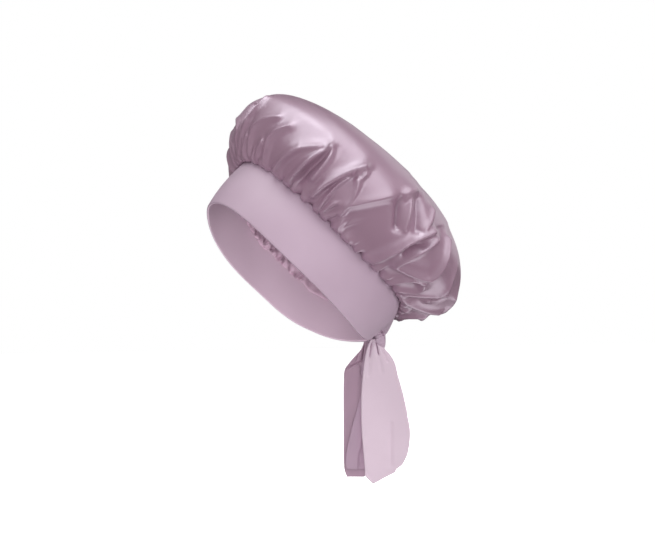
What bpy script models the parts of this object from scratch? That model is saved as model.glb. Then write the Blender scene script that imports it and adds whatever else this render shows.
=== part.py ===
"""Sleep bonnet: a puffed satin crown, gathered on to a wide band that is tied at the nape.

World axes: the wearer faces -Y, the wearer's left is +X and +Z is up. The origin is the middle of the ring
on which the band's lower edge lies. The bonnet is worn tilted back, so most places are given in the hat's
own directions: side (towards the wearer's left), back (in the plane of the ring) and rise (out of it).
Angles run round the ring: 0 at the nape, 90 at the wearer's left, 180 over the forehead.
All sizes are in metres.
"""

import math

import bmesh
import bpy
from mathutils import Vector

# Driving dimensions
TILT = math.radians(41.3)  # how far the ring leans back
GAP = 0.0003  # between neighbouring pieces

# Band
RING_HALF_LENGTH = 0.100
RING_HALF_WIDTH = 0.077
RING_SADDLE = 0.013  # the ring dips this far over the ears
BAND_WIDTH = 0.052
BAND_THICKNESS = 0.0024
BAND_BOW = 0.0030  # the band's face swells outwards in the middle
BAND_COLUMNS = 96
BAND_END_ANGLE = math.radians(6.6)  # the two ends stop here, beside the knot
BAND_END_THICKNESS = 0.0052  # the ends are gathered into the knot
BAND_END_SPREAD = 1.3 * BAND_END_ANGLE  # they thin out over about this angle
BAND_END_RISE = 0.003
BAND_END_DIP = 0.021  # the upper edge falls this far below the seam, towards the knot
BAND_END_DIP_ANGLE = math.radians(15)
NAPE_PULL = 0.007  # the tie draws the ring out at the nape
NAPE_PULL_ANGLE = math.radians(14)
SEAM_DIP = 0.009  # of the whole seam at the nape
SEAM_DIP_ANGLE = math.radians(25)

# Section of the band, round the lower fold and up to the seam: shares of its width and of half its thickness
# up, across
BAND_OUTLINE = (
    (0.0, 0.0),
    (0.012, 0.8),
    (0.05, 1.0),
    (0.35, 1.0),
    (0.70, 1.0),
    (1.0, 1.0),
    (1.0, -1.0),
    (0.70, -1.0),
    (0.35, -1.0),
    (0.05, -1.0),
    (0.012, -0.8),
)

# Crown. Heights on it are shares: -1 at the hem, 0 at the seam, 1 at the widest line and 2 at the top
CROWN_WALL = 0.0012
CROWN_HALF_LENGTH = 0.1355
CROWN_HALF_WIDTH = 0.113
CROWN_BACK = 0.003  # the puffed bag sits this far behind the ring
CROWN_EQUATOR_RISE = 0.097
CROWN_SAG = 0.0135  # of the bag's widest line at the nape
CROWN_SADDLE = 0.008
CROWN_APEX_BACK = -0.017
CROWN_APEX_RISE = 0.1340
DOME_OUT_POWER = 0.55
DOME_UP_POWER = 1.05
BULGE_FRONT_POWER = 1.0
BULGE_NAPE_POWER = 1.45
HEM_DEPTH = 0.012  # the gathered seam allowance hangs this far inside the band
HEM_RUFFLE = 0.0016
LEDGE = GAP + 0.00015  # the crown passes this far above the band's upper edge
NECK_INSET = BAND_THICKNESS / 2 + GAP + 0.0002
NORMAL_STEP = 0.02  # radians and heights between the places that give the outward direction
UNDER_TOP = 1.98  # the highest place used for it
GATHERS = 36
GATHER_DEPTH = 0.0036
GATHER_FULL = 0.2  # the height at which the pleats have their whole depth
GATHER_FADE = 0.6  # and over which they then fade
GATHER_WANDER = 0.6  # radians by which the pleats crowd and spread, four times round the crown
GATHER_UNEVEN_BROAD = 0.35  # share by which they deepen, five times round
GATHER_UNEVEN_FINE = 0.25  # and eleven times round
BROAD_FOLDS = 17  # soft folds that run on towards the top
BROAD_FOLD_DEPTH = 0.0030
BROAD_FOLD_WANDER = 1.5
BROAD_FOLDS_BEGIN = (0.3, 0.9)
BROAD_FOLDS_END = (1.0, 1.85)
FOLD_ROUND = 0.11  # metres of cloth in a radian round the crown
FOLD_UP = 0.065  # metres of cloth in one unit of height
FOLD_SOFT = 0.35  # a fold fades out over this share of its length, past its ends
FOLD_WHOLE = (0.2, 0.8)  # and has its whole depth between these shares
FOLD_REACH = 3  # half widths from its line at which a fold has died out
FOLDS_BEGIN = (0.1, 0.35)  # above the band's edge
FOLDS_END = (1.5, 1.9)

# Folds of the crown, one a row: the angle and height at each end, half the width and how far the fold
# stands out. One that stands out by less than nothing is a crease or a dent.
# angle_1, height_1, angle_2, height_2, half_width, out
CROWN_FOLDS = (
    (198, 0.15, 186, 0.75, 0.0055, 0.0040),
    (186, 0.12, 180, 0.85, 0.0055, 0.0045),
    (174, 0.15, 172, 0.80, 0.0055, -0.0040),
    (179, 0.80, 170, 1.15, 0.0060, -0.0055),
    (157, 0.40, 147, 0.90, 0.0060, 0.0045),
    (147, 0.25, 136, 0.80, 0.0060, 0.0050),
    (136, 0.05, 124, 0.95, 0.0065, 0.0075),
    (129, 0.25, 122, 0.65, 0.0060, -0.0055),
    (124, 0.20, 112, 0.95, 0.0070, 0.0075),
    (112, 0.15, 106, 0.50, 0.0060, -0.0050),
    (106, 0.40, 94, 1.20, 0.0080, 0.0055),
    (95, 0.20, 86, 0.90, 0.0090, -0.0045),
    (90, 1.20, 78, 0.95, 0.0060, 0.0045),
    (84, 0.50, 68, 1.40, 0.0080, 0.0060),
    (78, 0.15, 70, 0.95, 0.0060, 0.0055),
    (71, 0.40, 58, 0.85, 0.0070, -0.0060),
    (60, 0.70, 62, 1.35, 0.0090, 0.0055),
    (62, 0.10, 50, 0.60, 0.0080, 0.0060),
    (50, 0.10, 34, 0.75, 0.0070, 0.0060),
    (44, 0.60, 30, 1.10, 0.0090, -0.0060),
    (30, 0.20, 10, 0.80, 0.0100, 0.0075),
    (12, 0.15, 2, 0.60, 0.0080, 0.0050),
)
FAR_FOLD_SHIFT = 7  # degrees: the far side has the same folds a little further round
FAR_FOLD_SHARE = 0.9  # and a little lower

# Columns in each ring of the crown's wall, by the ring's height
CROWN_RINGS = (
    (144, (-1.0, -0.5, 0.0, 0.1, 0.22, 0.36, 0.52, 0.69, 0.86, 1.03)),
    (72, (1.17, 1.32, 1.46)),
    (36, (1.6, 1.73)),
    (18, (1.86,)),
)

# Knot: centre and half sizes
KNOT_SIDE = 0.0
KNOT_BACK = 0.1085
KNOT_RISE = 0.0135
KNOT_HALF_ACROSS = 0.0092
KNOT_HALF_DEEP = 0.0086
KNOT_HALF_TALL = 0.0086
KNOT_ROUNDNESS = 0.8
KNOT_CREASE_DEPTH = 0.0016
KNOT_CREASE_WIDTH = 0.0035
KNOT_CREASE_SLOPE = 0.9
KNOT_COLUMNS = 28
KNOT_ROWS = 12

# Tails: they hang plumb from the knot, flat on to a line between the wearer's left and face
TAIL_TURN = math.radians(65)
TAIL_THICKNESS = 0.0024
TAIL_COLUMNS = 12
NEAR_TAIL_FRONT = 0.0045  # in front of the knot's middle, seen from where the tails face
FAR_TAIL_FRONT = -0.0060
FAR_TAIL_STRETCHES = 3  # its section runs left, ridge, valley, right
FAR_TAIL_VALLEY = 0.6  # the valley's share of the way from the ridge to the right edge

# Near tail, a row for each section: drop below the knot's middle, then its two edges across from it,
# and how far the middle is cupped towards the viewer
# drop, left, right, cup
NEAR_TAIL = (
    (0.0089, -0.0065, 0.0068, 0.0015),
    (0.0130, -0.0100, 0.0108, 0.0030),
    (0.0200, -0.0125, 0.0158, 0.0050),
    (0.0340, -0.0140, 0.0203, 0.0065),
    (0.0500, -0.0150, 0.0243, 0.0070),
    (0.0700, -0.0155, 0.0288, 0.0070),
    (0.0880, -0.0150, 0.0316, 0.0060),
    (0.1000, -0.0140, 0.0308, 0.0050),
    (0.1100, -0.0130, 0.0276, 0.0040),
    (0.1180, -0.0120, 0.0215, 0.0030),
    (0.1245, -0.0110, 0.0140, 0.0020),
    (0.1300, -0.0085, 0.0045, 0.0010),
    (0.1340, -0.0055, -0.0035, 0.0),
)

# Far tail, folded lengthways: drop, left edge, ridge of the fold, right edge, depth of the fold
# drop, left, ridge, right, fold
FAR_TAIL = (
    (0.0090, -0.0130, -0.0100, -0.0020, 0.0010),
    (0.0150, -0.0190, -0.0130, -0.0040, 0.0030),
    (0.0210, -0.0250, -0.0150, -0.0060, 0.0040),
    (0.0290, -0.0305, -0.0160, -0.0070, 0.0045),
    (0.0500, -0.0315, -0.0170, -0.0080, 0.0045),
    (0.0700, -0.0315, -0.0210, -0.0090, 0.0045),
    (0.0900, -0.0313, -0.0260, -0.0100, 0.0040),
    (0.1180, -0.0310, -0.0292, -0.0115, 0.0030),
    (0.1295, -0.0290, -0.0275, -0.0125, 0.0020),
)


def hat_point(side, back, rise):
    """A place in the hat's own directions, as world coordinates."""
    y = back * math.cos(TILT) + rise * math.sin(TILT)
    z = rise * math.cos(TILT) - back * math.sin(TILT)
    return Vector((side, y, z))


def near_nape(angle, spread):
    """1 at the nape, falling to 0 on both sides over about the given spread."""
    away = abs((angle + math.pi) % (2 * math.pi) - math.pi)
    return math.exp(-((away / spread) ** 2))


def ramp(value, low, high):
    """0 below low, 1 above high, smooth between."""
    share = min(max((value - low) / (high - low), 0.0), 1.0)
    return share * share * (3 - 2 * share)


def saddle(angle):
    return -RING_SADDLE * math.sin(angle) ** 2


def seam_rise(angle):
    """Rise of the line where the crown is gathered on to the band."""
    return saddle(angle) + BAND_WIDTH - SEAM_DIP * near_nape(angle, SEAM_DIP_ANGLE)


def add_object(name, mesh_data, material):
    mesh = bpy.data.meshes.new(name)
    mesh_data.normal_update()
    mesh_data.to_mesh(mesh)
    mesh_data.free()
    mesh.shade_smooth()
    mesh.materials.append(material)
    part = bpy.data.objects.new(name, mesh)
    bpy.context.scene.collection.objects.link(part)
    return part


def ring_of(mesh, points):
    return [mesh.verts.new(point) for point in points]


def stitch(mesh, lower, upper):
    """Faces between two closed rings. The upper ring has as many points as the lower one, or half."""
    count = len(lower)
    if len(upper) == count:
        for i in range(count):
            j = (i + 1) % count
            mesh.faces.new((lower[i], lower[j], upper[j], upper[i]))
        return
    for i in range(0, count, 2):
        middle = lower[i + 1]
        after = lower[(i + 2) % count]
        here = upper[i // 2]
        there = upper[(i // 2 + 1) % len(upper)]
        mesh.faces.new((lower[i], middle, here))
        mesh.faces.new((middle, there, here))
        mesh.faces.new((middle, after, there))


def lofted(name, sections, material):
    """A solid through closed sections of equally many points, capped at both ends."""
    mesh = bmesh.new()
    rings = [ring_of(mesh, section) for section in sections]
    for lower, upper in zip(rings, rings[1:]):
        stitch(mesh, lower, upper)
    mesh.faces.new(reversed(rings[0]))
    mesh.faces.new(rings[-1])
    bmesh.ops.recalc_face_normals(mesh, faces=mesh.faces)
    return add_object(name, mesh, material)


# ---------------------------------------------------------------- band


def band_section(angle):
    """Closed section of the band: a folded double strip, thicker where it is gathered into the knot."""
    ends = near_nape(angle, BAND_END_SPREAD)
    thickness = BAND_THICKNESS + (BAND_END_THICKNESS - BAND_THICKNESS) * ends
    low = saddle(angle) + BAND_END_RISE * near_nape(angle, BAND_END_DIP_ANGLE)
    high = seam_rise(angle) - BAND_END_DIP * near_nape(angle, BAND_END_DIP_ANGLE)
    pull = NAPE_PULL * near_nape(angle, NAPE_PULL_ANGLE)
    out_side = math.sin(angle) / RING_HALF_WIDTH
    out_back = math.cos(angle) / RING_HALF_LENGTH
    size = math.hypot(out_side, out_back)
    points = []
    for up, across in BAND_OUTLINE:
        bow = BAND_BOW * math.sin(math.pi * up) * (1 if across > 0 else 0)
        out = across * thickness / 2 + bow
        side = RING_HALF_WIDTH * math.sin(angle) + out * out_side / size
        back = RING_HALF_LENGTH * math.cos(angle) + pull + out * out_back / size
        points.append(hat_point(side, back, low + (high - low) * up))
    return points


def build_band(material):
    turn = 2 * math.pi - 2 * BAND_END_ANGLE
    angles = [BAND_END_ANGLE + turn * i / BAND_COLUMNS for i in range(BAND_COLUMNS + 1)]
    return lofted("band", [band_section(angle) for angle in angles], material)


# ---------------------------------------------------------------- crown


def crown_base(angle, height):
    """Smooth outer surface of the crown. Below 0 it is the neck inside the band."""
    side_out = math.sin(angle)
    back_out = math.cos(angle)
    neck_side = (RING_HALF_WIDTH - NECK_INSET) * side_out
    neck_back = (RING_HALF_LENGTH - NECK_INSET) * back_out
    neck_rise = seam_rise(angle) + LEDGE
    if height <= 0:
        return hat_point(neck_side, neck_back, neck_rise + HEM_DEPTH * height)
    nape = ((1 + back_out) / 2) ** 2
    wide_side = CROWN_HALF_WIDTH * side_out
    wide_back = CROWN_BACK + CROWN_HALF_LENGTH * back_out
    wide_rise = CROWN_EQUATOR_RISE - CROWN_SAG * nape - CROWN_SADDLE * side_out**2
    if height <= 1:
        turn = height * math.pi / 2
        power = BULGE_FRONT_POWER + (BULGE_NAPE_POWER - BULGE_FRONT_POWER) * nape
        out = math.sin(turn) ** power
        up = 1 - math.cos(turn)
        return hat_point(
            neck_side + (wide_side - neck_side) * out,
            neck_back + (wide_back - neck_back) * out,
            neck_rise + (wide_rise - neck_rise) * up,
        )
    turn = min(height - 1, 1) * math.pi / 2
    out = max(math.cos(turn), 0.0) ** DOME_OUT_POWER
    up = math.sin(turn) ** DOME_UP_POWER
    return hat_point(
        wide_side * out,
        CROWN_APEX_BACK + (wide_back - CROWN_APEX_BACK) * out,
        wide_rise + (CROWN_APEX_RISE - wide_rise) * up,
    )


def crown_normal(angle, height):
    """Outward direction of the smooth surface."""
    round_it = crown_base(angle + NORMAL_STEP, height) - crown_base(angle - NORMAL_STEP, height)
    low = max(height - NORMAL_STEP, -1.0)
    high = min(height + NORMAL_STEP, UNDER_TOP)
    up_it = crown_base(angle, high) - crown_base(angle, low)
    return up_it.cross(round_it).normalized()


def fold_rows():
    """Every fold of the crown: those of the near side, and the same on the far side."""
    rows = []
    for angle_1, height_1, angle_2, height_2, half_width, out in CROWN_FOLDS:
        rows.append((angle_1, height_1, angle_2, height_2, half_width, out))
        far_1 = 360 - angle_1 - FAR_FOLD_SHIFT
        far_2 = 360 - angle_2 - FAR_FOLD_SHIFT
        rows.append((far_1, height_1, far_2, height_2, half_width, out * FAR_FOLD_SHARE))
    return rows


def fold_height(angle, height, row):
    """How far one fold stands out at a place on the crown."""
    angle_1, height_1, angle_2, height_2, half_width, out = row
    around = (math.degrees(angle) - angle_1 + 180) % 360 - 180
    x = math.radians(around) * FOLD_ROUND
    y = (height - height_1) * FOLD_UP
    along_x = math.radians(angle_2 - angle_1) * FOLD_ROUND
    along_y = (height_2 - height_1) * FOLD_UP
    length = math.hypot(along_x, along_y)
    share = (x * along_x + y * along_y) / length**2
    away = abs(x * along_y - y * along_x) / length
    if share < -FOLD_SOFT or share > 1 + FOLD_SOFT or away > FOLD_REACH * half_width:
        return 0.0
    whole_from, whole_to = FOLD_WHOLE
    ends = ramp(share, -FOLD_SOFT, whole_from) * (1 - ramp(share, whole_to, 1 + FOLD_SOFT))
    return out * ends * math.exp(-((away / half_width) ** 2))


def gather(angle, height):
    """Pleats that run up from the seam; they only cut inwards, so they clear the band."""
    uneven = 1 + GATHER_UNEVEN_BROAD * math.sin(5 * angle + 1.0) + GATHER_UNEVEN_FINE * math.sin(11 * angle)
    wave = 0.5 - 0.5 * math.cos(GATHERS * angle + GATHER_WANDER * math.sin(4 * angle))
    if height < 0:
        depth = HEM_RUFFLE
    else:
        depth = HEM_RUFFLE + (GATHER_DEPTH - HEM_RUFFLE) * ramp(height, 0, GATHER_FULL)
        depth *= math.exp(-((height / GATHER_FADE) ** 2))
    return -depth * wave * uneven


def crown_relief(angle, height, folds):
    relief = gather(angle, height)
    if height > 0:
        wander = BROAD_FOLD_WANDER * math.sin(3 * angle) + height
        broad = 0.5 + 0.5 * math.sin(BROAD_FOLDS * angle + wander)
        fade = ramp(height, *BROAD_FOLDS_BEGIN) * (1 - ramp(height, *BROAD_FOLDS_END))
        relief -= BROAD_FOLD_DEPTH * broad * fade
        folded = sum(fold_height(angle, height, row) for row in folds)
        relief += folded * ramp(height, *FOLDS_BEGIN) * (1 - ramp(height, *FOLDS_END))
    return relief


def build_crown(material):
    """One wall with the hem open below: an outer and an inner sheet, joined along the hem."""
    folds = fold_rows()
    mesh = bmesh.new()
    sheets = []
    for inset in (0.0, CROWN_WALL):
        rings = []
        for columns, heights in CROWN_RINGS:
            for height in heights:
                points = []
                for i in range(columns):
                    angle = 2 * math.pi * i / columns
                    out = crown_relief(angle, height, folds) - inset
                    points.append(crown_base(angle, height) + crown_normal(angle, height) * out)
                rings.append(ring_of(mesh, points))
        for lower, upper in zip(rings, rings[1:]):
            stitch(mesh, lower, upper)
        top = mesh.verts.new(crown_base(0.0, 2.0) - hat_point(0, 0, 1) * inset)
        last = rings[-1]
        for i, vertex in enumerate(last):
            mesh.faces.new((vertex, last[(i + 1) % len(last)], top))
        sheets.append(rings[0])
    outer_hem, inner_hem = sheets
    stitch(mesh, inner_hem, outer_hem)
    bmesh.ops.recalc_face_normals(mesh, faces=mesh.faces)
    return add_object("crown", mesh, material)


# ---------------------------------------------------------------- knot and tails


def knot_point(row, column):
    """The knot is a rounded lump with a crease where one end crosses over the other."""
    up = math.pi * (row / KNOT_ROWS - 0.5)
    around = 2 * math.pi * column / KNOT_COLUMNS

    def rounded(value):
        return math.copysign(abs(value) ** KNOT_ROUNDNESS, value)

    side = KNOT_HALF_ACROSS * rounded(math.cos(up)) * rounded(math.cos(around))
    back = KNOT_HALF_DEEP * rounded(math.cos(up)) * rounded(math.sin(around))
    rise = KNOT_HALF_TALL * rounded(math.sin(up))
    off_crease = rise - KNOT_CREASE_SLOPE * back
    crease = KNOT_CREASE_DEPTH * math.exp(-((off_crease / KNOT_CREASE_WIDTH) ** 2))
    size = math.sqrt(side**2 + back**2 + rise**2)
    keep = 1 - crease / size
    return hat_point(KNOT_SIDE + side * keep, KNOT_BACK + back * keep, KNOT_RISE + rise * keep)


def build_knot(material):
    sections = []
    for row in range(1, KNOT_ROWS):
        sections.append([knot_point(row, column) for column in range(KNOT_COLUMNS)])
    return lofted("knot", sections, material)


def tail_point(across, front, drop):
    """A place in the tails' own directions, from the knot's middle."""
    knot = hat_point(KNOT_SIDE, KNOT_BACK, KNOT_RISE)
    across_way = Vector((math.cos(TAIL_TURN), math.sin(TAIL_TURN), 0))
    front_way = Vector((math.sin(TAIL_TURN), -math.cos(TAIL_TURN), 0))
    return knot + across_way * across + front_way * front - Vector((0, 0, drop))


def tail_section(middle_line, drop):
    """A closed section of a tail: its front from left to right and its back from right to left."""
    front = [tail_point(across, depth + TAIL_THICKNESS / 2, drop) for across, depth in middle_line]
    back = [tail_point(across, depth - TAIL_THICKNESS / 2, drop) for across, depth in middle_line]
    return front + list(reversed(back))


def build_tail_near(material):
    sections = []
    for drop, left, right, cup in NEAR_TAIL:
        line = []
        for i in range(TAIL_COLUMNS + 1):
            share = i / TAIL_COLUMNS
            across = left + (right - left) * share
            line.append((across, NEAR_TAIL_FRONT + cup * math.sin(math.pi * share)))
        sections.append(tail_section(line, drop))
    return lofted("tail_near", sections, material)


def build_tail_far(material):
    sections = []
    steps = TAIL_COLUMNS // FAR_TAIL_STRETCHES
    for drop, left, ridge, right, fold in FAR_TAIL:
        valley = ridge + FAR_TAIL_VALLEY * (right - ridge)
        corners = ((left, 0.0), (ridge, fold), (valley, -fold), (right, fold))
        line = []
        for (across_1, depth_1), (across_2, depth_2) in zip(corners, corners[1:]):
            for i in range(steps):
                share = i / steps
                across = across_1 + (across_2 - across_1) * share
                line.append((across, FAR_TAIL_FRONT + depth_1 + (depth_2 - depth_1) * share))
        line.append((right, FAR_TAIL_FRONT + fold))
        sections.append(tail_section(line, drop))
    return lofted("tail_far", sections, material)


# ---------------------------------------------------------------- materials and scene


def fabric(name, colour, roughness):
    material = bpy.data.materials.new(name)
    material.use_nodes = True
    shader = material.node_tree.nodes["Principled BSDF"]
    shader.inputs["Base Color"].default_value = (*colour, 1.0)
    shader.inputs["Roughness"].default_value = roughness
    shader.inputs["Metallic"].default_value = 0.0
    material.diffuse_color = (*colour, 1.0)
    return material


def main():
    for old in list(bpy.data.objects):
        bpy.data.objects.remove(old, do_unlink=True)
    glossy_satin = fabric("glossy_satin", (0.40, 0.26, 0.36), 0.3)
    matte_satin = fabric("matte_satin", (0.51, 0.38, 0.47), 0.6)
    pale_satin = fabric("pale_satin", (0.60, 0.47, 0.57), 0.55)
    build_crown(glossy_satin)
    build_band(matte_satin)
    build_knot(matte_satin.copy())
    build_tail_near(pale_satin)
    build_tail_far(pale_satin.copy())


main()
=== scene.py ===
"""Sleep bonnet: its cloth, finish, light and camera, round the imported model.

World axes, in metres: the wearer faces -Y, the wearer's left is +X and +Z is up. The bonnet's own directions
are side (towards the wearer's left), back (in the plane of the ring round the head) and rise (out of it).
Angles run round the ring: 0 at the nape, 90 at the wearer's left, 180 over the forehead. A height on the
crown is a share: 0 at the seam, 1 at the widest line and 2 at the top.
"""

import math

import bpy
import numpy as np
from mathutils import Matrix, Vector


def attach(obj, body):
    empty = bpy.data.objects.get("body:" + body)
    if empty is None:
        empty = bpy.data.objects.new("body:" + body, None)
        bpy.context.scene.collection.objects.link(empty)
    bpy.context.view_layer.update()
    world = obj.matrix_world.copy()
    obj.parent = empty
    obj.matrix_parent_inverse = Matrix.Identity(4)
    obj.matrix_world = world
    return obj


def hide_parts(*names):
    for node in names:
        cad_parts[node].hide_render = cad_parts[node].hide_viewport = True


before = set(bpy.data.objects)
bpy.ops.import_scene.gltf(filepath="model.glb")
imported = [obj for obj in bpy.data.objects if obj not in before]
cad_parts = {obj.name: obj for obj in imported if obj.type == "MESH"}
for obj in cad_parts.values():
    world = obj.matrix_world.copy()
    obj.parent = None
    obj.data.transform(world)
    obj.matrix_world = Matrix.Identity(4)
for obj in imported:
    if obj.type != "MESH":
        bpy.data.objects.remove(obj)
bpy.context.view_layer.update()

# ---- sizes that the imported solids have

TILT = math.radians(41.3)
GAP = 0.0003
RING_HALF_LENGTH = 0.100
RING_HALF_WIDTH = 0.077
RING_SADDLE = 0.013
BAND_WIDTH = 0.052
BAND_THICKNESS = 0.0024
BAND_BOW = 0.0030
BAND_END_ANGLE = math.radians(6.6)
BAND_END_RISE = 0.003
BAND_END_DIP = 0.021
BAND_END_DIP_ANGLE = math.radians(15)
NAPE_PULL = 0.007
NAPE_PULL_ANGLE = math.radians(14)
SEAM_DIP = 0.009
SEAM_DIP_ANGLE = math.radians(25)
CROWN_HALF_LENGTH = 0.1355
CROWN_HALF_WIDTH = 0.113
CROWN_BACK = 0.003
CROWN_EQUATOR_RISE = 0.097
CROWN_SAG = 0.0135
CROWN_SADDLE = 0.008
CROWN_APEX_BACK = -0.017
CROWN_APEX_RISE = 0.1340
DOME_OUT_POWER = 0.55
DOME_UP_POWER = 1.05
BULGE_NAPE_POWER = 1.45
LEDGE = GAP + 0.00015
NECK_INSET = BAND_THICKNESS / 2 + GAP + 0.0002
KNOT_BACK = 0.1085
KNOT_RISE = 0.0135
KNOT_HALF_ACROSS = 0.0092
KNOT_HALF_DEEP = 0.0086
KNOT_HALF_TALL = 0.0086
TAIL_TURN = math.radians(65)  # the knot and tails face this way, and so does the photograph
ACROSS_WAY = np.array([math.cos(TAIL_TURN), math.sin(TAIL_TURN), 0.0])
FRONT_WAY = np.array([math.sin(TAIL_TURN), -math.cos(TAIL_TURN), 0.0])
DOWN = np.array([0.0, 0.0, -1.0])
TINY = 1e-12  # keeps a length that is divided by from being nothing

# ---- crown cloth

FINE_COLUMNS = 768
FINE_RINGS = 96  # steps between the seam and the smooth top
CAP_HEIGHT = 1.72  # where the smooth top begins
CAP_RINGS = 14
CAP_TOP = 1.99
APEX_HEIGHT = 2.0
HEM_RINGS = 16
LEVELS = ((1, 100, 0.10), (0, 40, 0.07))  # halvings of the fine grid, rounds, stiffness of bending
SEAM_FULL = 1.2  # length of cloth gathered into each length, beyond what the folds of the table take up
FULL_FADE = 0.42
TAUT = 0.8  # share of the folds' depth that the cloth is cut for, which pulls their crests straight
PRESSURE = 0.000004  # metres of puff in each round
HOLD = 0.40  # share of the way to the fold table's shape in each round
SEAM_HOLD = 0.20
HOLD_GROWS = (0.05, 0.45)  # heights between which the seam's hold grows to the full one
SLIDE_SHARE = 0.5  # share of the hold along the cloth
LINK_ROUNDS = 2
DAMPING = 0.9  # share of its speed that the cloth keeps
TOP_SPEED = 0.0015  # metres in each round
SHEAR = 0.25  # stiffness across the squares
LAP = 0.0045  # how far the puffs may hang over the band's edge
PUFF = 0.0030
PUFF_AT = (0.16, 0.12)  # height and spread
FIRST_WAVE = 0.0016
LATER_WAVE = 0.0003
LATER_WAVE_FADE = 0.5
WAVES = 30
WAVE_COUNTS = (9, 75)  # how many of a wave go round the seam
WAVE_LEAN = 2.2
WAVE_LEAN_COUNT = 25
WAVE_REACH = 10.0  # a wave runs up by this divided by its count, and by the least reach
WAVE_LEAST_REACH = 0.25
WAVE_SIZE = 14.0
WAVE_LEVEL = 6
SEED = 3
TUCKS = 50
TUCK_SHIFT = 0.32  # share of a tuck's width by which it may lie to either side
PLEAT_DEPTH = 0.0046
PLEAT_FADE = 0.22
TUCK_OUT = 0.0068
TUCK_LEVEL = 0.35
TUCK_AT = (0.10, 0.09)  # height and spread
TUCK_DOWN = 0.0042
TUCK_DOWN_AT = (0.07, 0.05)  # height and spread
SNUG_PUFF = 0.65  # how much less the tucks puff out over the brow
SNUG_FOLDS = 0.3
SNUG_AT = (math.radians(198), math.radians(30))
ALLOWANCE = 0.0158  # how far the seam allowance hangs inside the band
ALLOWANCE_DEEPER = 0.0062
DEEPER_AT = (303, 13)  # degrees: there it is turned over, deeper and smooth
SMOOTH_AT = (303, 12, 4)
HEM_WAVES = ((0.0008, 13, 0), (0.0007, 29, 1))  # depth, count round the ring, start
FRILLS = 40
FRILL_UNEVEN = ((2.5, 5), (1.5, 9))  # by how much their spacing swings, and how often round the ring
FRILL_LEAST = 0.0010
FRILL_DEPTH = 0.0030
# count round the ring, lean down the cloth, swing of the spacing, count of the swing
CRINKLES = ((104, 4, 3, 7), (71, -7, 0, 0), (31, 9, 2, 12))
CRINKLE_DEPTH = 0.0009
LEAST_INWARD = 0.0003
HEM_CURL = 0.0010
HEM_CURL_FROM = 0.93

# Folds of the crown, read from the photograph from the brow to the nape: degrees and height at each fold's
# start, middle and end, its half width and how far it stands out, both in millimetres
# angle_1, height_1, angle_2, height_2, angle_3, height_3, half_width, out
CROWN_FOLDS = (
    (212, 0.30, 197, 0.39, 187, 0.58, 2.5, 2.0),
    (203, 0.14, 187, 0.31, 178, 0.62, 2.5, 2.4),
    (194, 0.05, 181, 0.35, 175, 0.69, 2.5, 3.0),
    (182, 0.01, 177, 0.23, 172, 0.46, 2.2, 3.0),
    (170, 0.00, 169, 0.24, 168, 0.48, 2.5, 3.2),
    (162, 0.00, 161, 0.26, 158, 0.45, 2.5, 3.0),
    (154, 0.00, 154, 0.25, 154, 0.52, 2.8, 3.2),
    (171, 1.10, 172, 0.88, 178, 0.62, 2.5, 3.2),
    (184, 1.10, 182, 0.96, 181, 0.80, 6.0, -4.5),
    (36, 0.95, 52, 1.10, 66, 1.25, 14.0, -2.0),
    (168, 0.55, 164, 0.70, 154, 0.86, 3.0, 3.0),
    (154, 0.52, 152, 0.66, 146, 0.83, 3.0, 3.0),
    (145, 0.10, 142, 0.40, 136, 0.67, 3.5, 5.0),
    (136, 0.67, 131, 0.79, 126, 0.92, 3.5, 4.5),
    (135, 0.03, 131, 0.50, 125, 0.92, 3.5, 7.0),
    (125, 0.92, 123, 0.77, 124, 0.47, 3.0, 5.5),
    (130, 0.31, 127, 0.64, 126, 0.84, 4.0, -5.0),
    (120, 0.31, 116, 0.66, 110, 1.01, 3.5, 6.0),
    (114, 0.28, 114, 0.64, 110, 0.92, 2.5, 4.0),
    (116, 0.49, 114, 0.72, 111, 0.84, 2.5, -3.5),
    (112, 0.18, 110, 0.42, 106, 0.53, 2.5, 4.0),
    (111, 0.18, 107, 0.31, 106, 0.50, 2.5, 3.5),
    (109, 0.84, 106, 0.67, 105, 0.38, 3.0, 5.0),
    (108, 0.95, 108, 0.79, 106, 0.59, 2.5, 3.5),
    (106, 0.51, 98, 0.86, 87, 1.31, 7.0, 5.0),
    (102, 0.28, 98, 0.12, 90, 0.14, 3.0, 4.0),
    (92, 1.06, 89, 0.92, 85, 0.78, 3.5, -5.0),
    (88, 1.18, 85, 1.02, 82, 0.84, 3.0, 2.5),
    (84, 1.30, 81, 1.12, 78, 0.94, 3.5, -4.5),
    (75, 1.32, 75, 1.19, 76, 1.01, 4.0, 4.0),
    (78, 0.23, 77, 0.71, 72, 1.09, 3.5, 7.0),
    (72, 1.09, 71, 1.22, 64, 1.36, 4.0, 1.5),
    (70, 0.44, 71, 0.67, 68, 1.07, 3.0, 5.5),
    (74, 0.64, 74, 0.78, 72, 0.89, 3.0, -5.0),
    (70, 0.44, 61, 0.56, 55, 0.69, 3.0, 5.5),
    (55, 0.69, 57, 0.93, 61, 1.22, 3.5, 6.0),
    (58, 0.05, 60, 0.42, 54, 0.59, 3.0, 5.0),
    (54, 0.59, 48, 0.46, 52, 0.23, 3.0, 4.5),
    (44, 0.08, 32, 0.30, 20, 0.69, 3.5, 5.0),
    (20, 0.69, 20, 0.86, 27, 0.95, 4.5, 3.5),
    (38, 0.35, 37, 0.52, 34, 0.70, 4.0, -5.0),
    (46, 0.26, 42, 0.49, 36, 0.80, 3.0, 4.0),
    (0, 0.20, 12, 0.12, 22, 0.26, 3.0, 4.0),
    (-4, 0.36, 10, 0.30, 16, 0.53, 3.5, 5.0),
)
FOLD_DEPTH = 1.45  # times the depths in the table
FAR_FOLD_SHIFT = 7
FAR_FOLD_SHARE = 0.9
MIRRORED_BELOW = 172  # folds further forward than this have no copy
FOLD_POINTS = 7
FOLD_WINDOW = math.radians(16)  # how far round from a fold it can be felt
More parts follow.
